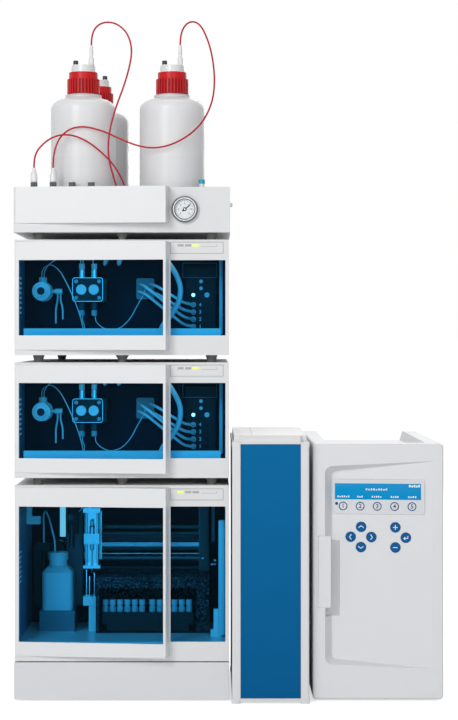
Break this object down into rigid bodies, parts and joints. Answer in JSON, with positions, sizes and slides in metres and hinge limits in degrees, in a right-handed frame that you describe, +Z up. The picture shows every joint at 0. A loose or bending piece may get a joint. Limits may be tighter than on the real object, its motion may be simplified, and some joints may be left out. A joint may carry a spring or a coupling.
{
  "type": "hplc system",
  "caption": "Bench-top liquid chromatography system: stack of autosampler, pumps and solvent tray with bottles, slim column oven tower and detector with hinged door.",
  "frame": {"origin": "centre of the footprint, at the height of the bench top", "axes": "+Z up, fronts face -Y, +X to the right as seen from the front"},
  "size_m": [0.724, 0.5228, 1.1565],
  "materials": {
    "housing_paint": "fine light grey textured paint",
    "cover_plastic": "moulded off-white plastic",
    "tinted_pane": "blue tinted clear acrylic",
    "blue_panel": "satin blue enamel",
    "foot_rubber": "dark rubber",
    "steel": "machined stainless steel",
    "valve_blue": "pale plastic",
    "manifold_plastic": "moulded plastic",
    "clear_hose": "clear soft tubing",
    "tray_plastic": "moulded leak tray",
    "cooler_foam": "black speckled insulating foam",
    "black_plastic": "black moulded plastic",
    "wash_bottle_plastic": "translucent plastic",
    "bottle_plastic": "milky translucent polyethylene",
    "cap_red": "red moulded cap",
    "fitting_white": "white fittings",
    "gauge_chrome": "polished bezel",
    "needle_black": "dark pointer",
    "collar_grey": "dark knurled collar",
    "vial_glass": "clear vials with crimp caps",
    "key_blue": "blue push buttons",
    "display_face": "display and key overlay",
    "tube_red": "red tubing"
  },
  "bodies": {
    "base": {"plinth": "housing_paint", "sampler_housing": "housing_paint", "pump_1_housing": "housing_paint", "pump_2_housing": "housing_paint", "front_bezels": "cover_plastic", "fixed_panes": "tinted_pane", "module_feet": "foot_rubber", "purge_valve_bodies": "steel", "pump_heads": "steel", "port_manifolds": "manifold_plastic", "capillaries": "steel", "wash_hoses": "clear_hose", "leak_trays": "tray_plastic", "sample_cooler": "cooler_foam", "carriage_rails": "steel", "syringe_unit": "black_plastic", "wash_bottle": "wash_bottle_plastic", "tray_body": "housing_paint", "tray_front": "cover_plastic", "gauge": "gauge_chrome", "hose_connectors": "fitting_white", "solvent_bottles": "bottle_plastic", "cap_inserts": "fitting_white", "tower_enclosure": "housing_paint", "tower_front_panel": "blue_panel", "detector_housing": "housing_paint", "column_and_cell": "steel", "solvent_tube_1": "tube_red", "solvent_tube_2": "tube_red"},
    "sampler_door": {"sampler_door": "cover_plastic", "sampler_door_pane": "tinted_pane"},
    "pump_1_door": {"pump_1_door": "cover_plastic", "pump_1_door_pane": "tinted_pane"},
    "pump_2_door": {"pump_2_door": "cover_plastic", "pump_2_door_pane": "tinted_pane"},
    "purge_knob_1": {"purge_knob_1": "valve_blue"},
    "purge_knob_2": {"purge_knob_2": "valve_blue"},
    "needle_carriage": {"needle_carriage": "steel"},
    "needle": {"needle": "steel"},
    "vial_rack": {"vial_rack": "black_plastic", "vials": "vial_glass"},
    "gauge_needle": {"gauge_needle": "needle_black"},
    "detector_door": {"detector_door": "cover_plastic", "detector_handle": "cover_plastic", "detector_display": "display_face"},
    "valve_collar_1": {"valve_collar_1": "collar_grey"},
    "cap_ring_1": {"cap_ring_1": "cap_red"},
    "valve_collar_2": {"valve_collar_2": "collar_grey"},
    "cap_ring_2": {"cap_ring_2": "cap_red"},
    "valve_collar_3": {"valve_collar_3": "collar_grey"},
    "cap_ring_3": {"cap_ring_3": "cap_red"},
    "valve_collar_4": {"valve_collar_4": "collar_grey"},
    "cap_ring_4": {"cap_ring_4": "cap_red"},
    "key_up": {"key_up": "key_blue"},
    "key_left": {"key_left": "key_blue"},
    "key_right": {"key_right": "key_blue"},
    "key_down": {"key_down": "key_blue"},
    "key_plus": {"key_plus": "key_blue"},
    "key_enter": {"key_enter": "key_blue"},
    "key_minus": {"key_minus": "key_blue"}
  },
  "joints": [
    {"name": "sampler_door_hinge", "type": "hinge", "parent": "base", "child": "sampler_door", "pos_m": [-0.3572, -0.2307, 0.207], "axis": [0, 0, -1], "range_deg": [0, 110]},
    {"name": "pump_1_door_hinge", "type": "hinge", "parent": "base", "child": "pump_1_door", "pos_m": [-0.3572, -0.2307, 0.6791], "axis": [0, 0, -1], "range_deg": [0, 110]},
    {"name": "pump_2_door_hinge", "type": "hinge", "parent": "base", "child": "pump_2_door", "pos_m": [-0.3572, -0.2307, 0.4723], "axis": [0, 0, -1], "range_deg": [0, 110]},
    {"name": "purge_knob_1_turn", "type": "hinge", "parent": "base", "child": "purge_knob_1", "pos_m": [-0.32, -0.1735, 0.6911], "axis": [0, -1, 0], "range_deg": [0, 270]},
    {"name": "purge_knob_2_turn", "type": "hinge", "parent": "base", "child": "purge_knob_2", "pos_m": [-0.32, -0.1735, 0.4843], "axis": [0, -1, 0], "range_deg": [0, 270]},
    {"name": "carriage_travel", "type": "slide", "parent": "base", "child": "needle_carriage", "axis": [1, 0, 0], "range_m": [0, 0.168]},
    {"name": "needle_stroke", "type": "slide", "parent": "needle_carriage", "child": "needle", "axis": [0, 0, -1], "range_m": [0, 0.036]},
    {"name": "rack_pull", "type": "slide", "parent": "base", "child": "vial_rack", "axis": [0, -1, 0], "range_m": [0, 0.09]},
    {"name": "gauge_sweep", "type": "hinge", "parent": "base", "child": "gauge_needle", "pos_m": [-0.0735, -0.239, 0.8274], "axis": [0, 1, 0], "range_deg": [-187, 83], "stiffness_Nm_per_rad": 0.0005},
    {"name": "valve_turn_1", "type": "hinge", "parent": "base", "child": "valve_collar_1", "pos_m": [-0.3286, -0.2185, 0.8699], "axis": [0, 0, 1], "range_deg": [0, 90]},
    {"name": "valve_turn_2", "type": "hinge", "parent": "base", "child": "valve_collar_2", "pos_m": [-0.2963, -0.2185, 0.8699], "axis": [0, 0, 1], "range_deg": [0, 90]},
    {"name": "valve_turn_3", "type": "hinge", "parent": "base", "child": "valve_collar_3", "pos_m": [-0.264, -0.2185, 0.8699], "axis": [0, 0, 1], "range_deg": [0, 90]},
    {"name": "valve_turn_4", "type": "hinge", "parent": "base", "child": "valve_collar_4", "pos_m": [-0.2317, -0.2185, 0.8699], "axis": [0, 0, 1], "range_deg": [0, 90]},
    {"name": "cap_turn_1", "type": "hinge", "parent": "base", "child": "cap_ring_1", "pos_m": [-0.2497, -0.1475, 1.0399], "axis": [0, 0, 1], "range_deg": [0, 360]},
    {"name": "cap_turn_2", "type": "hinge", "parent": "base", "child": "cap_ring_2", "pos_m": [-0.0965, -0.1475, 1.0399], "axis": [0, 0, 1], "range_deg": [0, 360]},
    {"name": "cap_turn_3", "type": "hinge", "parent": "base", "child": "cap_ring_3", "pos_m": [-0.2365, 0.0525, 1.0399], "axis": [0, 0, 1], "range_deg": [0, 360]},
    {"name": "cap_turn_4", "type": "hinge", "parent": "base", "child": "cap_ring_4", "pos_m": [-0.1, 0.0525, 1.0399], "axis": [0, 0, 1], "range_deg": [0, 360]},
    {"name": "detector_door_hinge", "type": "hinge", "parent": "base", "child": "detector_door", "pos_m": [0.354, -0.2075, 0.216], "axis": [0, 0, 1], "range_deg": [0, 110]},
    {"name": "key_up_press", "type": "slide", "parent": "detector_door", "child": "key_up", "axis": [0.1237, 0.9923, 0], "range_m": [0, 0.001], "stiffness_N_per_m": 400},
    {"name": "key_left_press", "type": "slide", "parent": "detector_door", "child": "key_left", "axis": [0.1237, 0.9923, 0], "range_m": [0, 0.001], "stiffness_N_per_m": 400},
    {"name": "key_right_press", "type": "slide", "parent": "detector_door", "child": "key_right", "axis": [0.1237, 0.9923, 0], "range_m": [0, 0.001], "stiffness_N_per_m": 400},
    {"name": "key_down_press", "type": "slide", "parent": "detector_door", "child": "key_down", "axis": [0.1237, 0.9923, 0], "range_m": [0, 0.001], "stiffness_N_per_m": 400},
    {"name": "key_plus_press", "type": "slide", "parent": "detector_door", "child": "key_plus", "axis": [0.1237, 0.9923, 0], "range_m": [0, 0.001], "stiffness_N_per_m": 400},
    {"name": "key_enter_press", "type": "slide", "parent": "detector_door", "child": "key_enter", "axis": [0.1237, 0.9923, 0], "range_m": [0, 0.001], "stiffness_N_per_m": 400},
    {"name": "key_minus_press", "type": "slide", "parent": "detector_door", "child": "key_minus", "axis": [0.1237, 0.9923, 0], "range_m": [0, 0.001], "stiffness_N_per_m": 400}
  ]
}
